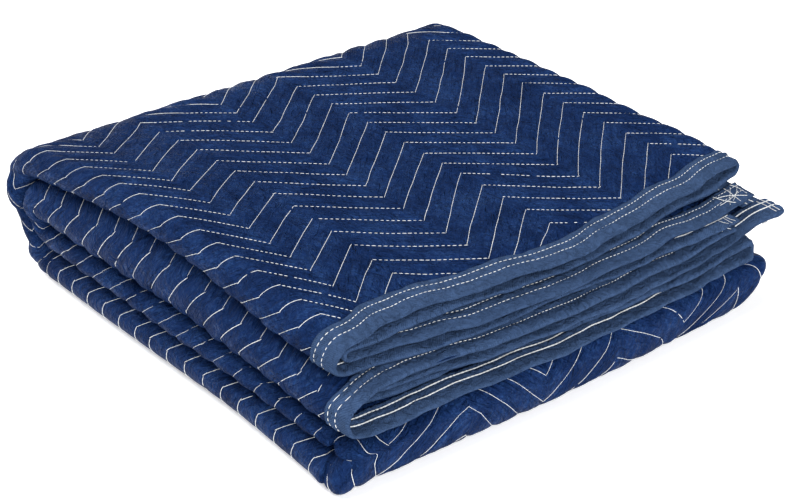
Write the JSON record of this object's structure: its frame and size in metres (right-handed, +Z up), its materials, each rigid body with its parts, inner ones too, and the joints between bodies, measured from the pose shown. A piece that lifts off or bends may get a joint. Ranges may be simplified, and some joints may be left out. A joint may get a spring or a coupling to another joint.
{
  "type": "folded quilted moving blanket",
  "caption": "Thick zigzag-quilted protective blanket folded into quarters both ways, its tape-bound edges together at the front and a free corner at one side.",
  "frame": {"origin": "on the floor under the middle of the folded bundle, at the middle of its flat resting face", "axes": "+X along the quilting rows, from the side folds to the free ends; +Y from the bound front to the back folds; +Z up through the layers"},
  "size_m": [0.5344, 0.5255, 0.1476],
  "materials": {
    "navy_shell": "navy nonwoven shell, slightly satin, quilted with white thread",
    "slate_tape": "matte slate-blue woven binding tape with two rows of white stitches",
    "white_thread": "matte white spun sewing thread"
  },
  "bodies": {
    "root": {"quilted_body": "navy_shell", "side_binding_top": "slate_tape", "side_binding_second": "slate_tape", "end_binding_lower": "slate_tape", "end_binding_tip": "slate_tape"}
  },
  "joints": []
}
